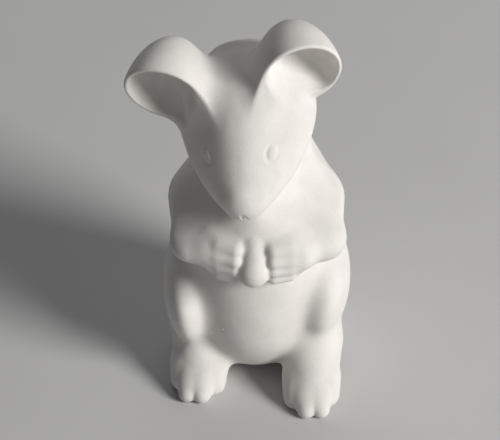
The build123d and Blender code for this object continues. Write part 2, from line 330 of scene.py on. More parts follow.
def smooth_line(stations, values, count=2000):
    """A natural cubic line through values at stations, sampled evenly."""
    x, y = np.array(stations, float), np.array(values, float)
    n, h = len(x), np.diff(x)
    rows, right = np.eye(n), np.zeros(n)
    for i in range(1, n - 1):
        rows[i, i - 1:i + 2] = h[i - 1], 2 * (h[i - 1] + h[i]), h[i]
        right[i] = 6 * ((y[i + 1] - y[i]) / h[i] - (y[i] - y[i - 1]) / h[i - 1])
    bend = np.linalg.solve(rows, right)
    at = np.linspace(x[0], x[-1], count)
    k = np.clip(np.searchsorted(x, at) - 1, 0, n - 2)
    u, w, g = at - x[k], x[k + 1] - at, h[k]
    curve = (bend[k] * w ** 3 + bend[k + 1] * u ** 3) / (6 * g)
    return at, curve + (y[k] / g - bend[k] * g / 6) * w + (y[k + 1] / g - bend[k + 1] * g / 6) * u


class Girth:
    """A form whose oval section changes along a line, as the distance from any point to it."""

    def __init__(self, origin, axes, table):
        self.origin, self.axes = np.array(origin, float), axes
        line, width, height, drop = np.array(table, float).T
        whole = (width > 0) & (height > 0)
        shape = np.interp(line, line[whole], width[whole] / height[whole])
        self.line, self.area = smooth_line(line, width * height)
        self.shape, self.drop = smooth_line(line, shape)[1], smooth_line(line, drop)[1]
        self.rises = [np.gradient(row, self.line) for row in (self.area, self.shape, self.drop)]

    def __call__(self, points):
        x, y, z = ((points - self.origin) @ self.axes.T).T
        at = np.clip(z, self.line[0], self.line[-1])
        area, shape, drop = (np.interp(at, self.line, row) for row in (self.area, self.shape, self.drop))
        area_rise, shape_rise, drop_rise = (np.interp(at, self.line, row) for row in self.rises)
        area = area + area_rise * (z - at)
        off = y - drop
        value = x * x / shape + off * off * shape - area
        along = -x * x * shape_rise / shape ** 2 + off * off * shape_rise
        along -= 2 * off * shape * drop_rise + area_rise
        slope = np.sqrt((2 * x / shape) ** 2 + (2 * off * shape) ** 2 + along ** 2)
        return value / np.maximum(slope, np.sqrt(np.maximum(area, LEAST_AREA)))


def egg(points, middle, axes, measures):
    """The distance to an egg-shaped form."""
    local = (points - np.array(middle, float)) @ axes.T
    measures = np.array(measures, float)
    reach = np.linalg.norm(local / measures, axis=1) + TINY
    slope = np.linalg.norm(local / measures ** 2, axis=1) + TINY
    return reach * (reach - 1) / slope


def taper(points, start, end, start_radius, end_radius):
    """The distance to a roll of clay with round ends and a changing thickness."""
    start, end = np.array(start, float), np.array(end, float)
    line = end - start
    length_2 = line @ line
    fall = start_radius - end_radius
    side_2 = length_2 - fall * fall
    away = points - start
    y = away @ line
    z = y - length_2
    out = away * length_2 - line * y[:, None]
    x2 = (out * out).sum(1)
    y2, z2 = y * y * length_2, z * z * length_2
    bend = np.sign(fall) * fall * fall * x2
    body = (np.sqrt(x2 * side_2 / length_2) + y * fall) / length_2 - start_radius
    return np.where(
        np.sign(z) * side_2 * z2 > bend,
        np.sqrt(x2 + z2) / length_2 - end_radius,
        np.where(np.sign(y) * side_2 * y2 < bend, np.sqrt(x2 + y2) / length_2 - start_radius, body),
    )


HEAD_AXES = turned((0, 0, 1), HEAD_TURN) @ turned((0, 1, 0), HEAD_TILT) @ turned((1, 0, 0), HEAD_BOW)


def on_head(across, forward, up):
    """A point in the head's own frame."""
    return vector(*HEAD_MIDDLE) + HEAD_AXES @ vector(across, -forward, up)


def head_aim(out, up):
    """A direction in the head's own frame: outwards from straight ahead, then upwards."""
    return HEAD_AXES @ turned((0, 0, 1), out) @ turned((1, 0, 0), -up) @ vector(0, -1, 0)


def make_forms():
    """The distance to each member, by name. Each one is a plain function of an array of points."""
    trunk = Girth((0, 0, 0), np.eye(3), BODY_GIRTH)

    def body(points):
        return join(trunk(points), egg(points, BREAST_MIDDLE, np.eye(3), BREAST_MEASURES), BREAST_SOFT)

    muzzle = np.array([HEAD_AXES @ vector(*row) for row in ((1, 0, 0), (0, 0, 1), (0, -1, 0))])
    skull = Girth(HEAD_MIDDLE, muzzle, HEAD_GIRTH)

    def face(points):
        form = skull(points)
        for side in SIDES.values():
            across, forward, up = MUZZLE_PLANE
            place, aim = on_head(side * across, forward, up), head_aim(side * MUZZLE_OUT, MUZZLE_UP)
            form = carve(form, (points - place) @ aim, MUZZLE_SOFT)
        return form

    eyes = []
    for side in SIDES.values():
        across, forward, up = EYE_PLACE
        place, aim = on_head(side * across, forward, up), head_aim(side * EYE_OUT, EYE_UP)
        for _ in range(EYE_ROUNDS):
            place = place - face(place[None])[0] * aim
        along = np.cross(np.cross(aim, muzzle[2]), aim)
        eyes.append((place, axes_along(aim, along)))

    def head(points):
        form = face(points)
        for place, axes in eyes:
            aim = axes[2]
            hole = egg(points, place + aim * SOCKET_OUT, axes, SOCKET_MEASURES)
            bead = egg(points, place - aim * BEAD_IN, axes, BEAD_MEASURES)
            form = join(carve(form, -hole, SOCKET_SOFT), bead, BEAD_SOFT)
        top, end = on_head(*CLEFT_TOP), on_head(*CLEFT_FOOT)
        return carve(form, -taper(points, top, end, CLEFT_RADIUS, CLEFT_RADIUS), CLEFT_SOFT)

    def ear(side):
        rim, facing, _ = EARS[side]
        axes = axes_along(facing)

        def form(points):
            outer = egg(points, rim, axes, (EAR_RADIUS, EAR_RADIUS, EAR_DEPTH))
            return carve(outer, (points - np.array(rim)) @ axes[2], RIM_SOFT)

        return form

    def hollow(side):
        rim, facing, _ = EARS[side]
        axes = axes_along(facing)
        degrees, half_width = MOUTHS[side]
        angle = math.radians(degrees)
        brow = -axes[0] * math.sin(angle) * SIDES[side] - axes[1] * math.cos(angle)
        mouth = axes_along(facing, brow)

        def form(points):
            inner = egg(points, rim, axes, (HOLLOW_RADIUS, HOLLOW_RADIUS, HOLLOW_DEPTH))
            measures = (MOUTH_LENGTH, half_width, MOUTH_DEPTH)
            lip = egg(points, np.array(rim) + brow * MOUTH_REACH, mouth, measures)
            return join(inner, lip, MOUTH_SOFT)

        return form

    def arm(side):
        shoulder, elbow, wrist = ARMS[side]
        first, second, third = ARM_RADII
        return lambda points: join(
            taper(points, shoulder, elbow, first, second),
            taper(points, elbow, wrist, second, third),
            ELBOW_SOFT,
        )

    def paw(side):
        way = SIDES[side]

        def form(points):
            wrist = ARMS[side][2]
            across, forward, up = PALM_MIDDLE
            middle = (PAWS_ACROSS + way * across, forward, up)
            shape = egg(points, middle, np.eye(3), PALM_MEASURES)
            link = taper(points, wrist, middle, WRIST_RADIUS, WRIST_RADIUS)
            shape = join(shape, link, WRIST_SOFT)
            for level, bulge, radius in FINGERS:
                bends = [(PAWS_ACROSS + way * x, y - bulge, level) for x, y, _ in FINGER_BENDS]
                thick = [radius * share for _, _, share in FINGER_BENDS]
                finger = np.minimum(
                    taper(points, bends[0], bends[1], thick[0], thick[1]),
                    taper(points, bends[1], bends[2], thick[1], thick[2]),
                )
                shape = join(shape, finger, FINGER_SOFT)
            return shape

        return form

    def seed(points):
        return taper(points, SEED_FOOT, SEED_TIP, *SEED_RADII)

    def haunch(side):
        axes = turned((0, 1, 0), SIDES[side] * HAUNCH_SPLAY).T
        middle, measures = HAUNCHES[side]
        return lambda points: egg(points, middle, axes, measures)

    def foot(side):
        way = SIDES[side]
        across, back = FEET[side]
        front = back - BALL_FORWARD
        heel, ball = (across, back, HEEL_HEIGHT), (across, front, BALL_HEIGHT)
        bridge = (across, front - INSTEP_FORWARD, INSTEP_HEIGHT)

        def form(points):
            shape = taper(points, heel, ball, HEEL_RADIUS, BALL_RADIUS)
            shape = join(shape, egg(points, bridge, np.eye(3), INSTEP_MEASURES), INSTEP_SOFT)
            toes = None
            for root, tip, forward, radius in TOES:
                start = (across + way * root, front - TOE_ROOT_FORWARD, TOE_ROOT_HEIGHT)
                end = (across + way * tip, front - forward, radius - TOE_PRESS)
                toe = taper(points, start, end, TOE_ROOT_RADIUS, radius)
                toes = toe if toes is None else join(toes, toe, TOE_GROOVE)
            return join(shape, toes, TOE_SOFT)

        return form

    def tail(points):
        shape, before = None, None
        for station in range(TAIL_LINKS + 1):
            share = station / TAIL_LINKS
            angle = math.radians(TAIL_START + share * TAIL_SWEEP)
            radius = TAIL_RADIUS - TAIL_THINNING * share
            out = TAIL_CIRCLE + (radius - TAIL_BED - TAIL_ROOT * (1 - share) ** 4)
            place = (out * math.cos(angle), TAIL_BACK + out * math.sin(angle), radius, radius)
            if before:
                link = taper(points, before[:3], place[:3], before[3], place[3])
                shape = link if shape is None else np.minimum(shape, link)
            before = place
        return shape

    forms = {"torso": body, "head": head, "seed": seed, "tail": tail}
    makers = {"ear": ear, "hollow": hollow, "arm": arm, "paw": paw, "haunch": haunch, "foot": foot}
    for name, maker in makers.items():
        for side in SIDES:
            forms[f"{name}_{side}"] = maker(side)
    return forms


def reach_of(name):
    """A ball that holds a member, so that far points needn't be measured."""
    low, high = (np.array(corner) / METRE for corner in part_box(name))
    return (low + high) / 2, np.linalg.norm(high - low) / 2 + BALL_MARGIN


class Clay:
    """The whole mouse as one soft form."""

    def __init__(self):
        forms = bpy.context.scene.mouse_forms
        self.press = {name: getattr(forms, name) / METRE for name in forms.__annotations__}
        self.forms = make_forms()
        self.reach = {name: reach_of(name) for name in MEMBERS}

    def members(self, points):
        """The distance from each point to each member, one row for each member."""
        rows = np.empty((len(MEMBERS), len(points)))
        for place, name in enumerate(MEMBERS):
            middle, radius = self.reach[name]
            if name == "torso":
                rows[place] = self.forms[name](points)
                continue
            away = np.linalg.norm(points - middle, axis=1) - radius
            near = away < BALL_GATE
            rows[place] = np.maximum(away, BALL_GATE)
            if near.any():
                rows[place, near] = self.forms[name](points[near])
        return rows

    def whole(self, points, rows=None):
        """The distance from each point to the blended form."""
        rows = self.members(points) if rows is None else rows

        def pair(kind):
            return np.minimum(rows[NUMBER[kind + "_left"]], rows[NUMBER[kind + "_right"]])

        form = rows[NUMBER["torso"]]
        for kind in ("haunch", "foot"):
            form = join(form, pair(kind), self.press[kind])
        rise = np.clip((points[:, 2] - ARMPIT_HEIGHT) / ARMPIT_RISE, 0, 1)
        share = ARMPIT_SHARE + (1 - ARMPIT_SHARE) * rise
        form = join(form, pair("arm"), self.press["arm"] * share)
        form = self.shoulders(points, form)
        form = join(form, pair("paw"), self.press["paw"])
        form = join(form, rows[NUMBER["seed"]], self.press["seed"])
        form = join(form, self.heads(points, rows), self.press["head"])
        form = join(form, rows[NUMBER["tail"]], self.press["tail"])
        return carve(form, -points[:, 2], BASE_SOFT)

    def shoulders(self, points, form):
        """Flatten the front of each shoulder up to a crease, and less and less away from it."""
        for place, run, facing in SHOULDERS.values():
            away = points - vector(*place)
            run = unit(run)
            facing = unit(vector(*facing) - run * (run @ vector(*facing)))
            ahead = np.cross(run, facing)
            ahead = ahead * -np.sign(ahead[1])
            along, front = away @ run, away @ ahead
            front = np.maximum(front, 0)
            sink = (along / SHOULDER_REACH) ** 2 * SHOULDER_SINK + front ** 2 / SHOULDER_BOW
            form = carve(form, away @ facing - sink, SHOULDER_SOFT + SHOULDER_SOFTENING * front)
        return form

    def heads(self, points, rows):
        """The skull with both ears pressed on, softest over the crown, and then hollowed out."""
        skull = rows[NUMBER["head"]]
        form = skull
        across = np.abs((points - vector(*HEAD_MIDDLE)) @ HEAD_AXES[:, 0])
        crown = np.clip((CROWN_EDGE - across) / CROWN_FADE, 0, 1)
        crown = crown * crown * (3 - 2 * crown)
        for side, (_, _, cheek) in EARS.items():
            softness = cheek + (self.press["ear"] - cheek) * crown
            form = join(form, rows[NUMBER["ear_" + side]], softness)
        for side, (rim, _, _) in EARS.items():
            near = np.linalg.norm(points - vector(*rim), axis=1) < HOLLOW_REACH
            if near.any():
                inner = self.forms["hollow_" + side](points[near])
                inner = carve(inner, -skull[near], HOLLOW_SOFT)
                form[near] = carve(form[near], -inner, RIM_SOFT)
        return form

    def slope(self, points):
        """The distance at each point, and the direction in which it grows fastest."""
        moved = [points + NUDGE * sign * row for row in np.eye(3) for sign in (1, -1)]
        values = [self.whole(group) for group in moved]
        rise = np.stack([values[2 * k] - values[2 * k + 1] for k in range(3)], 1)
        rise /= np.linalg.norm(rise, axis=1)[:, None] + TINIEST
        return self.whole(points), rise

    def settle(self, points, rounds, stride):
        """Move points onto the skin of the form, no farther than one stride in each round."""
        for _ in range(rounds):
            value, rise = self.slope(points)
            points = points - np.clip(value, -stride, stride)[:, None] * rise
            points[:, 2] = np.maximum(points[:, 2], 0)
        return points


def spread_out(blocks):
    """Give each sample the value of its block."""
    for axis in range(3):
        blocks = np.repeat(blocks, BLOCK, axis)
    return blocks


class Cast:
    """The blended form as closed meshes, one for each member, that share their seams."""

    def __init__(self, clay, step):
        self.clay, self.step = clay, step
        low, high = (np.array(corner) / METRE for corner in cad_box)
        low, high = low - MARGIN * step, high + MARGIN * step
        low[2] += LIFT * step
        self.low = low
        self.count = (np.ceil((high - low) / (BLOCK * step)).astype(int) + 1) * BLOCK + 1
        self.fill()
        self.weave()

    def spots(self, index):
        """Where samples lie, from their places in the grid."""
        return self.low + index * self.step

    def measure(self, index):
        """The member and the distance at each sample."""
        owner, value = np.empty(len(index), np.int8), np.empty(len(index))
        for k in range(0, len(index), BATCH):
            batch = slice(k, k + BATCH)
            points = self.spots(index[batch])
            rows = self.clay.members(points)
            value[batch] = self.clay.whole(points, rows)
            owner[batch] = rows.argmin(0) + 1
        return owner, value

    def fill(self):
        """Fill the grid: far from any skin or seam whole blocks take one value."""
        blocks = (self.count - 1) // BLOCK
        corner = np.stack(np.meshgrid(*[np.arange(n + 1) for n in blocks], indexing="ij"), -1)
        owner, value = self.measure(corner.reshape(-1, 3) * BLOCK)
        shape = tuple(blocks + 1)
        owner = np.where(value > 0, 0, owner).reshape(shape)
        value = value.reshape(shape)
        mixed = np.zeros(tuple(blocks), bool)
        close = np.full(tuple(blocks), np.inf)
        first = owner[:-1, :-1, :-1]
        for i, j, k in np.ndindex(2, 2, 2):
            part = (slice(i, i + blocks[0]), slice(j, j + blocks[1]), slice(k, k + blocks[2]))
            mixed |= owner[part] != first
            close = np.minimum(close, np.abs(value[part]))
        fine = mixed | (close < CLOSE * self.step)
        self.owner = np.zeros(tuple(self.count), np.int8)
        self.owner[:-1, :-1, :-1] = spread_out(first)
        self.value = np.where(self.owner > 0, -FAR_VALUE, FAR_VALUE)
        near = np.zeros(tuple(self.count), bool)
        near[:-1, :-1, :-1] = spread_out(fine)
        for axis in range(3):
            near |= np.roll(near, 1, axis)
        index = np.argwhere(near)
        owner, value = self.measure(index)
        self.owner[near] = np.where(value > 0, 0, owner)
        self.value[near] = value

    def weave(self):
        """One point in each cell that a skin or seam crosses, and a face across each such edge."""
        owner, value = self.owner, self.value
        cells = tuple(self.count - 1)
        total, hits = np.zeros(cells + (3,)), np.zeros(cells)
        open_air = np.zeros(cells, bool)
        for i, j, k in np.ndindex(2, 2, 2):
            part = owner[i:i + cells[0], j:j + cells[1], k:k + cells[2]]
            open_air |= part == 0
        edges = []
        for axis in range(3):
            ahead = [slice(None)] * 3
            behind = [slice(None)] * 3
            ahead[axis], behind[axis] = slice(1, None), slice(None, -1)
            a, b = owner[tuple(behind)], owner[tuple(ahead)]
            index = np.argwhere(a != b)
            here = tuple(index.T)
            there = index.copy()
            there[:, axis] += 1
            there = tuple(there.T)
            skin = (owner[here] == 0) != (owner[there] == 0)
            gap = value[here] - value[there]
            share = np.where(skin, value[here] / np.where(gap == 0, 1, gap), 0.5)
            crossing = index.astype(float)
            crossing[:, axis] += np.clip(share, EDGE_SHARE, 1 - EDGE_SHARE)
            one, two = [other for other in range(3) if other != axis]
            ring = []
            for back_one, back_two in ((1, 1), (0, 1), (0, 0), (1, 0)):
                cell = index.copy()
                cell[:, one] -= back_one
                cell[:, two] -= back_two
                ring.append(cell)
                place = tuple(cell.T)
                np.add.at(total, place, crossing)
                np.add.at(hits, place, 1)
            edges.append((axis, owner[here], owner[there], ring))
        used = hits > 0
        self.name_of = np.full(cells, -1)
        self.name_of[used] = np.arange(used.sum())
        self.points = self.spots(total[used] / hits[used][:, None])
        self.outer = open_air[used]
        quads, near_side, far_side = [], [], []
        for axis, a, b, ring in edges:
            corner = [self.name_of[tuple(cell.T)] for cell in ring]
            if axis == 1:
                corner = corner[::-1]
            quads.append(np.stack(corner, 1))
            near_side.append(a)
            far_side.append(b)
        self.quads = np.concatenate(quads)
        self.near_side, self.far_side = np.concatenate(near_side), np.concatenate(far_side)
        self.relax()

    def settle(self, points, rounds, cells):
        """Move points onto the skin, no farther than a share of a cell in each round."""
        return self.clay.settle(points, rounds, cells * self.step)

    def relax(self):
        """Settle the skin's points and even them out, and sink the seams' own points below it."""
        skin = self.outer
        outside = (self.near_side == 0) | (self.far_side == 0)
        faces = self.quads[outside]
        ends = np.concatenate([faces[:, [k, (k + 1) % 4]] for k in range(4)])
        ends = np.concatenate([ends, ends[:, ::-1]])
        self.points[skin] = self.settle(self.points[skin], *FIRST_SETTLE)
        for _ in range(EVEN_ROUNDS):
            total, hits = np.zeros_like(self.points), np.zeros(len(self.points))
            np.add.at(total, ends[:, 0], self.points[ends[:, 1]])
            np.add.at(hits, ends[:, 0], 1)
            even = total[skin] / np.maximum(hits[skin], 1)[:, None]
            points = self.points[skin]
            self.points[skin] = self.settle(points + (even - points) * EVEN_SHARE, *EVEN_SETTLE)
        self.points[skin] = self.settle(self.points[skin], *LAST_SETTLE)
        value, rise = self.clay.slope(self.points[~skin])
        deep = np.clip(value + SEAM_DEPTH * self.step, 0, self.step)[:, None]
        self.points[~skin] = self.points[~skin] - deep * rise
        self.points[:, 2] = np.maximum(self.points[:, 2], 0)

    def shell(self, name):
        """A member's points and faces. A seam face that lies along the skin is folded inwards."""
        number = NUMBER[name] + 1
        front = self.near_side == number
        back = self.far_side == number
        faces = np.concatenate([self.quads[front], self.quads[back][:, ::-1]])
        skin = np.concatenate([self.far_side[front] == 0, self.near_side[back] == 0])
        flat = ~skin & (self.outer[faces].sum(1) > 2)
        middle = self.points[faces[flat]].mean(1)
        if flat.any():
            value, rise = self.clay.slope(middle)
            middle = middle - (value + SEAM_DEPTH * self.step)[:, None] * rise
        points = np.concatenate([self.points, middle])
        centre = len(self.points) + np.arange(len(middle))
        quads, low = faces[~flat], faces[flat]
        folds = np.concatenate([
            np.stack([low[:, k], low[:, (k + 1) % 4], centre], 1) for k in range(4)
        ])
        used, index = np.unique(np.concatenate([quads.ravel(), folds.ravel()]), return_inverse=True)
        whole, split = index[:quads.size].reshape(-1, 4), index[quads.size:].reshape(-1, 3)
        return points[used], whole.tolist() + split.tolist()


made = {}


def cast():
    """The casting, made once for all the members."""
    if "cast" not in made:
        made["clay"] = Clay()
        made["cast"] = Cast(made["clay"], STEP)
    return made["cast"]


def add_object(name, data):
    """A new object in the scene."""
    added = bpy.data.objects.new(name, data)
    bpy.context.scene.collection.objects.link(added)
    return added


def make_member(name, finish, fine_spots=()):
    """Make one member of the mouse as a closed mesh and put it on the frame."""
    points, faces = cast().shell(name)
    if len(faces) == 0:
        raise RuntimeError(f"nothing of {name} shows")
    mesh = bpy.data.meshes.new(f"mouse_{name}")
    mesh.from_pydata(points * METRE, [], faces)
    mesh.validate()
    if fine_spots:
        refine(mesh, fine_spots)
    mesh.materials.append(finish)
    set_normals(mesh)
    piece = add_object(f"mouse_{name}", mesh)
    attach(piece, "root")
    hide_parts(name)
    return piece


def places_of(mesh):
    """A mesh's points in millimetres."""
    places = np.empty(len(mesh.vertices) * 3)
    mesh.vertices.foreach_get("co", places)
    return places.reshape(-1, 3) / METRE


def refine(mesh, spots):
    """Divide the faces round fine relief and settle the new points on the skin."""
    shape = bmesh.new()
    shape.from_mesh(mesh)
    for share in SPOT_SHARES:
        near = [
            edge for edge in shape.edges
            if all(
                any((vert.co - Vector(spot) * METRE).length < radius * share * METRE
                    for spot, radius in spots)
                for vert in edge.verts
            )
        ]
        bmesh.ops.subdivide_edges(shape, edges=near, cuts=1, use_grid_fill=True)
    shape.to_mesh(mesh)
    shape.free()
    places = places_of(mesh)
    near = np.zeros(len(places), bool)
    for spot, radius in spots:
        near |= np.linalg.norm(places - np.array(spot), axis=1) < radius
    places[near] = made["clay"].settle(places[near], *SPOT_SETTLE)
    mesh.vertices.foreach_set("co", (places * METRE).ravel())
    mesh.update()


def set_normals(mesh):
    """Shade the skin by the form's own slope, so that no seam shows between the members."""
    value, rise = made["clay"].slope(places_of(mesh))
    on_skin = np.abs(value) < SKIN_BAND
    mesh.polygons.foreach_set("use_smooth", np.ones(len(mesh.polygons), bool))
    normals = np.zeros((len(mesh.loops), 3))
    for face in mesh.polygons:
        skin = all(on_skin[v] for v in face.vertices)
        own = np.array(face.normal)
        for loop in face.loop_indices:
            vert = mesh.loops[loop].vertex_index
            normals[loop] = rise[vert] if skin and rise[vert] @ own > SKIN_FACING else own
    mesh.normals_split_custom_set(normals)


def add_specks(piece):
    """Raise tiny domes on a member, where air bubbles in the mould filled with plaster."""
    look = bpy.context.scene.mouse_plaster
    draw = np.random.default_rng(SPECK_SEED)
    mesh = piece.data
    shape = bmesh.new()
    shape.from_mesh(mesh)
    shape.faces.ensure_lookup_table()
    skin = []
    for face in shape.faces:
        middle = face.calc_center_median()
        if middle.y < 0 and middle.z > SPECK_FLOOR and face.normal.y < -SPECK_FACING:
            skin.append(face.index)
    places = []
    for pick in draw.choice(skin, size=min(look.speck_count, len(skin)), replace=False):
        face = shape.faces[int(pick)]
        share = draw.uniform(*SPECK_SHARES)
        places.append((face.calc_center_median().copy(), face.normal.copy(), share))
    value = made["clay"].whole(np.array([tuple(place) for place, _, _ in places]) / METRE)
    for (place, normal, share), off in zip(places, value):
        if abs(off) > SPECK_SEAT:
            continue
        turn = normal.to_track_quat("Z", "Y").to_matrix().to_4x4()
        turn.translation = place - normal * look.speck_size * SPECK_SINK
        radius = look.speck_size / 2 * share
        bmesh.ops.create_icosphere(shape, subdivisions=2, radius=radius, matrix=turn)
    shape.to_mesh(mesh)
    shape.free()


def set_inputs(node, values):
    """Give the inputs of a node their values, by name."""
    for name, value in values.items():
        node.inputs[name].default_value = value


def socket(group, name, direction, value=None):
    """A named number on a node group."""
    kind = "NodeSocketFloat"
    made_socket = group.interface.new_socket(name=name, in_out=direction, socket_type=kind)
    if value is not None:
        made_socket.default_value = value
    return made_socket


def grain_group():
    """Mottling, fine grain and pin holes, as a tone, a roughness and a height. The pin holes darken the
    tone: painted shade in them.
    """
    name = "cast_grain"
    if name in bpy.data.node_groups:
        return bpy.data.node_groups[name]
    group = bpy.data.node_groups.new(name, "ShaderNodeTree")
    socket(group, "Grain size", "INPUT", GRAIN_SIZE)
    socket(group, "Mottle size", "INPUT", MOTTLE_SIZE)
    socket(group, "Pin holes", "INPUT", PIN_HOLES)
    for result in ("Tone", "Roughness", "Height"):
        socket(group, result, "OUTPUT")
    nodes, links = group.nodes, group.links
    inputs, outputs = nodes.new("NodeGroupInput"), nodes.new("NodeGroupOutput")
    place = nodes.new("ShaderNodeTexCoord").outputs["Object"]

    def sum_of(operation, first, second):
        """Two numbers or sockets in one step of arithmetic."""
        node = nodes.new("ShaderNodeMath")
        node.operation = operation
        for slot, value in enumerate((first, second)):
            if isinstance(value, (int, float)):
                node.inputs[slot].default_value = value
            else:
                links.new(value, node.inputs[slot])
        return node.outputs[0]

    def noise(scale, detail, roughness):
        node = nodes.new("ShaderNodeTexNoise")
        links.new(place, node.inputs["Vector"])
        links.new(scale, node.inputs["Scale"])
        set_inputs(node, {"Detail": detail, "Roughness": roughness})
        return node.outputs["Fac"]

    fine = noise(sum_of("DIVIDE", 1.0, inputs.outputs["Grain size"]), *FINE_NOISE)
    broad = noise(sum_of("DIVIDE", 1.0, inputs.outputs["Mottle size"]), *BROAD_NOISE)
    cells = nodes.new("ShaderNodeTexVoronoi")
    cells.feature = "F1"
    links.new(place, cells.inputs["Vector"])
    links.new(sum_of("DIVIDE", HOLE_SCALE, inputs.outputs["Grain size"]), cells.inputs["Scale"])
    hole = nodes.new("ShaderNodeMapRange")
    rim, edge = HOLE_EDGE
    set_inputs(hole, {"From Min": rim, "From Max": edge, "To Min": 1.0, "To Max": 0.0})
    links.new(cells.outputs["Distance"], hole.inputs["Value"])
    pick = sum_of("GREATER_THAN", cells.outputs["Color"], HOLE_PICK)
    pits = sum_of("MULTIPLY", hole.outputs["Result"], pick)
    pits = sum_of("MULTIPLY", pits, inputs.outputs["Pin holes"])
    tone = sum_of("ADD", sum_of("MULTIPLY", broad, BROAD_TONE), sum_of("MULTIPLY", fine, FINE_TONE))
    # Painted shade: the pin holes make the tone darker, as the shade inside them would
    tone = sum_of("SUBTRACT", tone, sum_of("MULTIPLY", pits, HOLE_PAINTED_SHADE))
    links.new(tone, outputs.inputs["Tone"])
    rough = sum_of("ADD", ROUGHNESS, sum_of("MULTIPLY", fine, GRAIN_ROUGHNESS))
    links.new(rough, outputs.inputs["Roughness"])
    links.new(sum_of("SUBTRACT", fine, pits), outputs.inputs["Height"])
    return group


def matte_finish(name, pale, dark, grain, mottle, holes, relief, gloss):
    """A matte mineral finish whose tone, roughness and relief come from the grain; its pin holes are
    darkened as painted shade.
    """
    if name in bpy.data.materials:
        return bpy.data.materials[name]
    finish = bpy.data.materials.new(name)
    finish.use_nodes = True
    nodes, links = finish.node_tree.nodes, finish.node_tree.links
    shader = nodes["Principled BSDF"]
    set_inputs(shader, {"IOR": MINERAL_IOR, "Specular IOR Level": gloss})
    grained = nodes.new("ShaderNodeGroup")
    grained.node_tree = grain_group()
    set_inputs(grained, {"Grain size": grain, "Mottle size": mottle, "Pin holes": holes})
    spread = nodes.new("ShaderNodeMapRange")
    darkest, palest = TONE_SPREAD
    set_inputs(spread, {"From Min": darkest, "From Max": palest})
    links.new(grained.outputs["Tone"], spread.inputs["Value"])
    colour = nodes.new("ShaderNodeMix")
    colour.data_type = "RGBA"
    colour.inputs[6].default_value = (*dark, 1.0)
    colour.inputs[7].default_value = (*pale, 1.0)
    links.new(spread.outputs["Result"], colour.inputs[0])
    links.new(colour.outputs[2], shader.inputs["Base Color"])
    links.new(grained.outputs["Roughness"], shader.inputs["Roughness"])
    bump = nodes.new("ShaderNodeBump")
    set_inputs(bump, {"Strength": 1.0, "Distance": relief})
    links.new(grained.outputs["Height"], bump.inputs["Height"])
    links.new(bump.outputs["Normal"], shader.inputs["Normal"])
    return finish


def plaster_finish():
    """Dry white plaster, as it comes out of a rubber mould."""
    look = bpy.context.scene.mouse_plaster
    return matte_finish(
        "white_plaster", look.pale, look.shade, look.grain_size, look.mottle_size,
        look.pin_holes, look.grain_depth, PLASTER_GLOSS,
    )


class PressedForms(bpy.types.PropertyGroup):
    """How softly the members run into each other."""

    haunch: FloatProperty(
        name="Haunch fillet", description="Softness of the valley round each haunch",
        default=0.005, min=0.0005, max=0.012, unit="LENGTH",
    )
    foot: FloatProperty(
        name="Foot fillet", description="Softness where each foot leaves the body",
        default=0.004, min=0.0005, max=0.012, unit="LENGTH",
    )
    arm: FloatProperty(
        name="Arm fillet", description="Softness where each arm leaves the body at the shoulder",
        default=0.007, min=0.0005, max=0.012, unit="LENGTH",
    )
    paw: FloatProperty(
        name="Paw fillet", description="Softness between the paws and the body",
        default=0.0024, min=0.0003, max=0.004, unit="LENGTH",
    )
    seed: FloatProperty(
        name="Seed fillet", description="Softness between the seed and the fingers",
        default=0.0009, min=0.0003, max=0.004, unit="LENGTH",
    )
    ear: FloatProperty(
        name="Ear fillet", description="Softness where each ear grows out of the crown",
        default=0.007, min=0.0005, max=0.012, unit="LENGTH",
    )
    head: FloatProperty(
        name="Neck fillet", description="Softness of the crease behind the skull and under the chin",
        default=0.002, min=0.0005, max=0.008, unit="LENGTH",
    )
    tail: FloatProperty(
        name="Tail fillet", description="Softness where the tail lies against the body",
        default=0.001, min=0.0003, max=0.004, unit="LENGTH",
    )


class PlasterLook(bpy.types.PropertyGroup):
    """The dry plaster."""

    pale: FloatVectorProperty(
        name="Plaster", description="Colour of the clean plaster",
        subtype="COLOR", size=3, min=0, max=1, default=(0.80, 0.78, 0.75),
    )
    shade: FloatVectorProperty(
        name="Mottling", description="Colour of the slightly darker patches",
        subtype="COLOR", size=3, min=0, max=1, default=(0.72, 0.70, 0.67),
    )
    grain_size: FloatProperty(
        name="Grain", description="Size of the finest grain",
        default=GRAIN_SIZE, min=0.0001, max=0.002, unit="LENGTH",
    )
    mottle_size: FloatProperty(
        name="Mottle size", description="Size of the broad soft patches",
        default=MOTTLE_SIZE, min=0.001, max=0.03, unit="LENGTH",
    )
    grain_depth: FloatProperty(
        name="Grain depth", description="How deep the grain and the pin holes are",
        default=0.00006, min=0, max=0.0005, unit="LENGTH", precision=6,
    )
    # The strength of the pin holes sets their relief and also the painted shade in them
    pin_holes: FloatProperty(
        name="Pin holes", description="How strongly the smallest air holes show",
        default=PIN_HOLES, min=0, max=1, subtype="FACTOR",
    )
    speck_size: FloatProperty(
        name="Speck size", description="Width of the raised specks from bubbles in the mould",
        default=0.0006, min=0.0001, max=0.002, unit="LENGTH", precision=6,
    )
    speck_count: IntProperty(
        name="Specks", description="How many raised specks the belly has",
        default=26, min=0, max=200,
    )


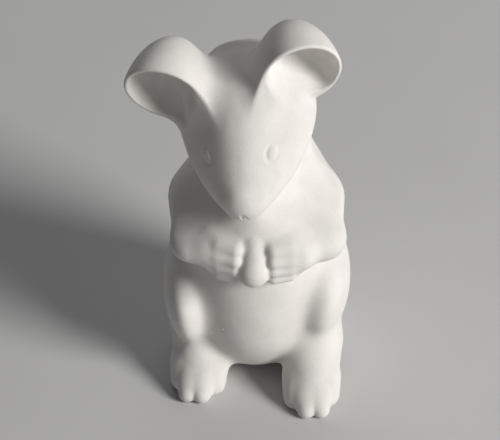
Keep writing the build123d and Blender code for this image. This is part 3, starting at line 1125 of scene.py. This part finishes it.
class StageLook(bpy.types.PropertyGroup):
    """The floor, the lamps and the camera."""

    floor: FloatVectorProperty(
        name="Floor", description="Colour of the pale floor",
        subtype="COLOR", size=3, min=0, max=1, default=(0.62, 0.62, 0.62),
    )
    key: FloatProperty(
        name="Key lamp", description="Power of the large soft lamp on the right",
        default=25.6, min=0, max=100, subtype="POWER",
    )
    sky: FloatProperty(
        name="Room light", description="Strength of the even light all round",
        default=0.07, min=0, max=2,
    )
    azimuth: FloatProperty(
        name="Azimuth", description="How far the camera stands to the mouse's left of straight ahead",
        default=math.radians(2.5), subtype="ANGLE",
    )
    height: FloatProperty(
        name="Height", description="How steeply the camera looks down",
        default=math.radians(40), subtype="ANGLE",
    )
    distance: FloatProperty(
        name="Distance", description="From the camera to the middle of the mouse",
        default=0.43, min=0.1, max=3, unit="LENGTH",
    )


class MouseStep(bpy.types.Operator):
    """A step in the making of the mouse."""

    bl_options = {"REGISTER", "UNDO"}
    members = ()

    def execute(self, context):
        for name in self.members:
            self.make(name)
        return {"FINISHED"}

    def make(self, name):
        make_member(name, plaster_finish())


class MOUSE_OT_torso(MouseStep):
    """Make the body with its raised specks"""

    bl_idname = "mouse.torso"
    bl_label = "Body"
    members = ("torso",)

    def make(self, name):
        add_specks(make_member(name, plaster_finish()))


class MOUSE_OT_head(MouseStep):
    """Make the head with its eyes and the cleft of its nose"""

    bl_idname = "mouse.head"
    bl_label = "Head"
    members = ("head",)

    def make(self, name):
        across, forward, up = EYE_PLACE
        spots = [(tuple(on_head(side * across, forward, up)), EYE_SPOT) for side in SIDES.values()]
        spots.append((tuple(on_head(*CLEFT_PLACE)), CLEFT_SPOT))
        make_member(name, plaster_finish(), spots)


class MOUSE_OT_ears(MouseStep):
    """Make both cupped ears"""

    bl_idname = "mouse.ears"
    bl_label = "Ears"
    members = ("ear_left", "ear_right")


class MOUSE_OT_arms(MouseStep):
    """Make both arms"""

    bl_idname = "mouse.arms"
    bl_label = "Arms"
    members = ("arm_left", "arm_right")


class MOUSE_OT_paws(MouseStep):
    """Make both paws with their fingers"""

    bl_idname = "mouse.paws"
    bl_label = "Paws"
    members = ("paw_left", "paw_right")


class MOUSE_OT_seed(MouseStep):
    """Make the seed between the paws"""

    bl_idname = "mouse.seed"
    bl_label = "Seed"
    members = ("seed",)


class MOUSE_OT_haunches(MouseStep):
    """Make both haunches"""

    bl_idname = "mouse.haunches"
    bl_label = "Haunches"
    members = ("haunch_left", "haunch_right")


class MOUSE_OT_feet(MouseStep):
    """Make both hind feet with their toes"""

    bl_idname = "mouse.feet"
    bl_label = "Feet"
    members = ("foot_left", "foot_right")


class MOUSE_OT_tail(MouseStep):
    """Make the tail"""

    bl_idname = "mouse.tail"
    bl_label = "Tail"
    members = ("tail",)


class MOUSE_OT_stage(bpy.types.Operator):
    """Lay the pale floor and set the lamps and the camera"""

    bl_idname = "mouse.stage"
    bl_label = "Stage"
    bl_options = {"REGISTER", "UNDO"}

    def execute(self, context):
        look = context.scene.mouse_stage
        floor_mesh = bpy.data.meshes.new("floor")
        half = FLOOR_HALF
        corners = [(-half, -half, 0), (half, -half, 0), (half, half, 0), (-half, half, 0)]
        floor_mesh.from_pydata(corners, [], [(0, 1, 2, 3)])
        floor = add_object("floor", floor_mesh)
        floor.location.z = -FLOOR_GAP
        shade = [FLOOR_SHADE * part for part in look.floor]
        floor_mesh.materials.append(matte_finish("floor_card", look.floor, shade, **FLOOR_FINISH))
        self.light(context, look)
        self.camera(context, look)
        return {"FINISHED"}

    def light(self, context, look):
        world = bpy.data.worlds.new("studio")
        context.scene.world = world
        world.use_nodes = True
        sky = world.node_tree.nodes["Background"]
        set_inputs(sky, {"Color": SKY_TINT, "Strength": look.sky})
        for name, way, share, size, tint in LAMPS:
            lamp = bpy.data.lights.new(name, "AREA")
            lamp.shape, lamp.size = "DISK", size
            lamp.energy, lamp.color = look.key * share, tint
            placed = add_object(name, lamp)
            placed.location = Vector(LAMP_AIM) + Vector(way).normalized() * LAMP_DISTANCE
            placed.rotation_mode = "QUATERNION"
            placed.rotation_quaternion = Vector(way).to_track_quat("Z", "Y")

    def camera(self, context, look):
        lens = bpy.data.cameras.new("camera")
        lens.sensor_width, lens.lens = SENSOR_WIDTH, FOCAL_LENGTH
        lens.shift_x, lens.shift_y = SHIFT_ACROSS, SHIFT_UP
        camera = add_object("camera", lens)
        flat = math.cos(look.height)
        back = Vector((
            math.sin(look.azimuth) * flat, -math.cos(look.azimuth) * flat, math.sin(look.height)
        ))
        camera.location = Vector(CAMERA_AIM) + back * look.distance
        camera.rotation_mode = "QUATERNION"
        camera.rotation_quaternion = back.to_track_quat("Z", "Y")
        context.scene.camera = camera
        context.scene.view_settings.view_transform = "Standard"


class MOUSE_PT_sidebar(bpy.types.Panel):
    """The steps and the sizes of the plaster mouse"""

    bl_idname = "MOUSE_PT_sidebar"
    bl_label = "Plaster mouse"
    bl_space_type = "VIEW_3D"
    bl_region_type = "UI"
    bl_category = "Plaster mouse"

    def draw(self, context):
        scene = context.scene
        for step in STEPS:
            self.layout.operator(step.bl_idname, text=step.bl_label)
        for group in (scene.mouse_forms, scene.mouse_plaster, scene.mouse_stage):
            box = self.layout.box()
            for name in group.__annotations__:
                box.prop(group, name)


STEPS = (
    MOUSE_OT_torso, MOUSE_OT_haunches, MOUSE_OT_feet, MOUSE_OT_arms, MOUSE_OT_paws, MOUSE_OT_seed,
    MOUSE_OT_head, MOUSE_OT_ears, MOUSE_OT_tail, MOUSE_OT_stage,
)
CLASSES = (PressedForms, PlasterLook, StageLook, *STEPS, MOUSE_PT_sidebar)


def register():
    for kind in CLASSES:
        bpy.utils.register_class(kind)
    bpy.types.Scene.mouse_forms = PointerProperty(type=PressedForms)
    bpy.types.Scene.mouse_plaster = PointerProperty(type=PlasterLook)
    bpy.types.Scene.mouse_stage = PointerProperty(type=StageLook)


def unregister():
    del bpy.types.Scene.mouse_stage
    del bpy.types.Scene.mouse_plaster
    del bpy.types.Scene.mouse_forms
    for kind in reversed(CLASSES):
        bpy.utils.unregister_class(kind)


def main():
    """Make every piece and the stage."""
    register()
    for step in STEPS:
        group, name = step.bl_idname.split(".")
        getattr(getattr(bpy.ops, group), name)()


if __name__ == "__main__":
    main()
